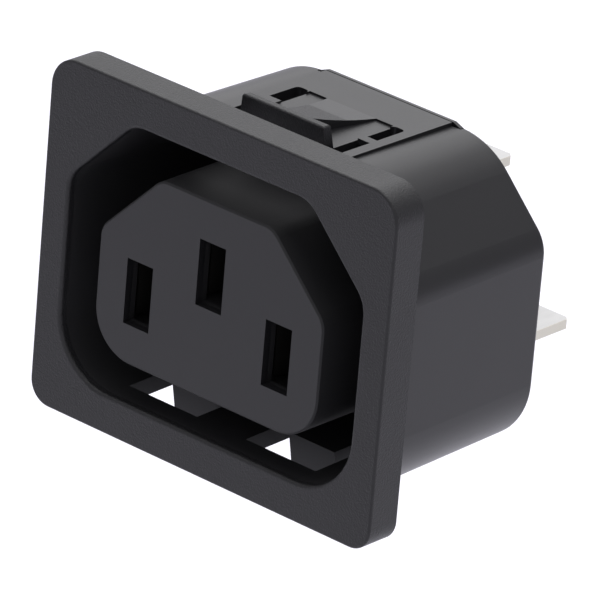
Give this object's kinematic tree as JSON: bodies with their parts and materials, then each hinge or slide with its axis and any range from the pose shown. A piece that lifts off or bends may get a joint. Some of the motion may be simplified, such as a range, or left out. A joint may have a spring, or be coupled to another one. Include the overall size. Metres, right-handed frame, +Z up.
{
  "type": "power connector",
  "caption": "Snap-in panel mains outlet: keyed plug well round a slotted contact block, a sprung latch tongue and fingers behind the flange, flat terminals at the back",
  "frame": {"origin": "middle of the flange's back face, where the outlet seats on its panel", "axes": "+Y runs into the equipment, from the flange to the terminals; +X is to the right as seen from the front; +Z is up, on the side of the earth slot and the latch tongue"},
  "size_m": [0.0346, 0.0304, 0.0286],
  "materials": {
    "moulding": "black moulded thermoplastic with a fine satin grain",
    "contact_metal": "tin-plated brass strip, satin"
  },
  "bodies": {
    "root": {"housing": "moulding", "rear_cover": "moulding", "line_contact": "contact_metal", "neutral_contact": "contact_metal", "earth_contact": "contact_metal"}
  },
  "joints": []
}
